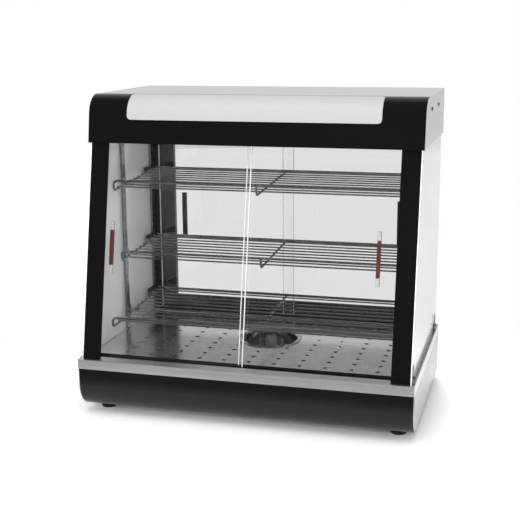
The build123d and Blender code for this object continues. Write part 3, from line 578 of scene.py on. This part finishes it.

# Wire shelves: drawn steel wire, spot welded at each crossing and chrome plated. The frame wire
# is bent up at the front into a guard, and the shelves lie on the hooks' tongues.
# The grain is the wire's own. The chrome's tone, darker than plain chrome, is a painted dark
# reflection for the dark lines the wires show.
shelf_chrome_painted_reflection = sheet_metal(
    "plated_wire_painted_reflection",
    dark=(0.27, 0.27, 0.28), light=(0.50, 0.50, 0.51),
    roughness=0.10, spread=0.08, depth=0.04, streaks=(90.0, 90.0, 90.0), edge=0.0002,
)
dress(shelf_chrome_painted_reflection, "shelf_top", "shelf_middle", "shelf_bottom")

# Door tracks: extruded aluminium channels, anodised black, with one groove for each pane.
# The lower ones lie on the rim, and the upper ones hang under the hood.
track_black = enamel(
    "anodised_track",
    body=(0.004, 0.004, 0.005), dusty=(0.04, 0.04, 0.04),
    roughness=0.30, dust=0.14, peel_depth=0.10, specular=0.03,
)
dress(track_black, "front_track_bottom", "front_track_top", "rear_track_bottom", "rear_track_top")


# Sliding doors: panes of clear toughened glass, two leaning in front and two upright behind.
# Each is rebuilt in its node's place with a small arris on every edge; the edge faces and a narrow
# band at each end get a near-white painted highlight.
def pane_glass(name, roughness, smeared):
    material = bpy.data.materials.new(name)
    material.use_nodes = True
    tree = material.node_tree
    shader = tree.nodes["Principled BSDF"]
    shader.inputs["Base Color"].default_value = (1.0, 1.0, 1.0, 1.0)
    shader.inputs["IOR"].default_value = 1.5
    shader.inputs["Transmission Weight"].default_value = 1.0
    smear_values = {"From Min": 0.45, "From Max": 0.80, "To Min": roughness, "To Max": smeared}
    place = new_node(tree, "ShaderNodeTexCoord")
    smear = new_node(tree, "ShaderNodeTexNoise", {"Scale": 5.0, "Detail": 6.0})
    smear_range = new_node(tree, "ShaderNodeMapRange", smear_values)
    passing = new_node(tree, "ShaderNodeBsdfTransparent", {"Color": (0.96, 0.97, 0.97, 1.0)})
    ray = new_node(tree, "ShaderNodeLightPath")
    unseen = new_node(tree, "ShaderNodeMath", operation="MAXIMUM")
    choice = new_node(tree, "ShaderNodeMixShader")
    join(
        tree,
        (place.outputs["Object"], smear.inputs["Vector"]),
        (smear.outputs["Fac"], smear_range.inputs["Value"]),
        (smear_range.outputs["Result"], shader.inputs["Roughness"]),
        (ray.outputs["Is Shadow Ray"], unseen.inputs[0]),
        (ray.outputs["Is Diffuse Ray"], unseen.inputs[1]),
        (unseen.outputs[0], choice.inputs["Fac"]),
        (shader.outputs[0], choice.inputs[1]),
        (passing.outputs[0], choice.inputs[2]),
        (choice.outputs[0], tree.nodes["Material Output"].inputs["Surface"]),
    )
    return material


def corner_of(vertex):
    return tuple(round(value, last_digit) for value in vertex.co)


clear_glass = pane_glass("clear_pane_glass", roughness=0.0, smeared=0.04)
# Painted highlight: a near-white, partly opaque material on the pane edges and end bands gives the
# bright edge lines.
edge_painted_highlight = moulded(
    "pane_edge_painted_highlight", (0.97, 0.97, 0.97), roughness=0.45, transmission=0.35, variation=0.02
)
arris = 0.0006
highlight_band = 0.0016
same_point = 0.00001
same_plane = 0.02
clear_share = 0.5
last_digit = 6
for door in ("front_door_left", "front_door_right", "rear_door_left", "rear_door_right"):
    shape = bmesh.new()
    shape.from_mesh(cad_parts[door].data)
    bmesh.ops.remove_doubles(shape, verts=shape.verts, dist=same_point)
    bmesh.ops.dissolve_limit(shape, angle_limit=same_plane, verts=shape.verts, edges=shape.edges)
    bmesh.ops.bevel(
        shape, geom=shape.edges[:], offset=arris, segments=1, affect="EDGES", profile=0.5
    )
    sides = [vertex.co.x for vertex in shape.verts]
    for cut_x in (min(sides) + highlight_band, max(sides) - highlight_band):
        bmesh.ops.bisect_plane(
            shape,
            geom=shape.verts[:] + shape.edges[:] + shape.faces[:],
            plane_co=(cut_x, 0.0, 0.0),
            plane_no=(1.0, 0.0, 0.0),
        )
    # The corners and faces are put in a fixed order, so that each run writes the same mesh.
    corners = sorted(corner_of(vertex) for vertex in shape.verts)
    largest = max(face.calc_area() for face in shape.faces)
    outlines = []
    for face in shape.faces:
        outline = [corners.index(corner_of(vertex)) for vertex in face.verts]
        first = outline.index(min(outline))
        # Faces under half the largest, the edges and the end bands, take the painted highlight slot.
        slot = 0 if face.calc_area() > clear_share * largest else 1
        outlines.append((outline[first:] + outline[:first], slot))
    outlines.sort()
    pane_mesh = bpy.data.meshes.new(door + "_glass")
    pane_mesh.from_pydata(corners, [], [outline for outline, slot in outlines])
    shape.free()
    pane_mesh.materials.append(clear_glass)
    pane_mesh.materials.append(edge_painted_highlight)
    for polygon, (outline, slot) in zip(pane_mesh.polygons, outlines):
        polygon.use_smooth = False
        polygon.material_index = slot
    pane = bpy.data.objects.new(door + "_glass", pane_mesh)
    bpy.context.collection.objects.link(pane)
    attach(pane, door)
    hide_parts(door)

# Front door grips: a moulded red-brown bar held between two clear acrylic end posts.
# The posts are bonded to the outer face of the glass.
grip_brown = moulded(
    "red_brown_grip", (0.085, 0.024, 0.018), roughness=0.20, transmission=0.0, variation=0.45
)
grip_clear = moulded(
    "clear_grip_post", (0.72, 0.72, 0.72), roughness=0.12, transmission=0.6, variation=0.06
)
dress(grip_brown, "front_grip_left", "front_grip_right")
dress(grip_clear, "front_grip_posts_left", "front_grip_posts_right")

# Rear door handles: slim bars moulded in the controls' black plastic, with a fine matt surface.
# They are bonded to the outer face of the rear panes.
dress(control_black, "rear_handle_left", "rear_handle_right")

# Hood ceiling and lamp: the polished stainless inner sheet rests on pillars, posts and uprights.
# A straight tube of frosted glass, unlit, is held at both ends in black moulded holders.
ceiling_steel = sheet_metal(
    "polished_ceiling",
    dark=(0.80, 0.80, 0.80), light=(0.88, 0.88, 0.88),
    roughness=0.12, spread=0.06, depth=0.02, streaks=grain_along_x,
)
tube_white = moulded(
    "frosted_tube", (0.85, 0.85, 0.83), roughness=0.30, transmission=0.0, variation=0.03
)
dress(ceiling_steel, "hood_ceiling")
dress(tube_white, "lamp_tube")
dress(control_black, "lamp_holders")

# Hood front: steel sheet in the same black enamel, leaning and bent back over the top edge.
# The opening for the light window is cut out of it, across that bend.
dress(black_enamel, "hood_fascia")

# Light window: a sheet of white diffusing acrylic, bent warm to the round of the hood front.
# It fills the opening in the hood front and follows its bend.
diffuser_white = moulded(
    "white_diffuser", (0.40, 0.395, 0.41), roughness=0.35, transmission=0.0, variation=0.02
)
dress(diffuser_white, "light_diffuser")

# Hood roof and sides: brushed stainless sheet, the roof folded down at the rear. The grain runs
# across on the roof and from front to back on the sides, which two screws each hold.
grain_along_y = (1100.0, 5.0, 1100.0)
hood_steel = sheet_metal(
    "brushed_hood_steel",
    dark=(0.80, 0.80, 0.80), light=(0.95, 0.95, 0.95),
    roughness=0.22, streaks=grain_along_x,
)
hood_side_steel = sheet_metal(
    "brushed_hood_side",
    dark=(0.68, 0.68, 0.68), light=(0.88, 0.88, 0.88),
    roughness=0.24, streaks=grain_along_y,
)
dress(hood_steel, "hood_roof")
dress(hood_side_steel, "hood_side_left", "hood_side_right")
dress(fitting_steel, "hood_screws")
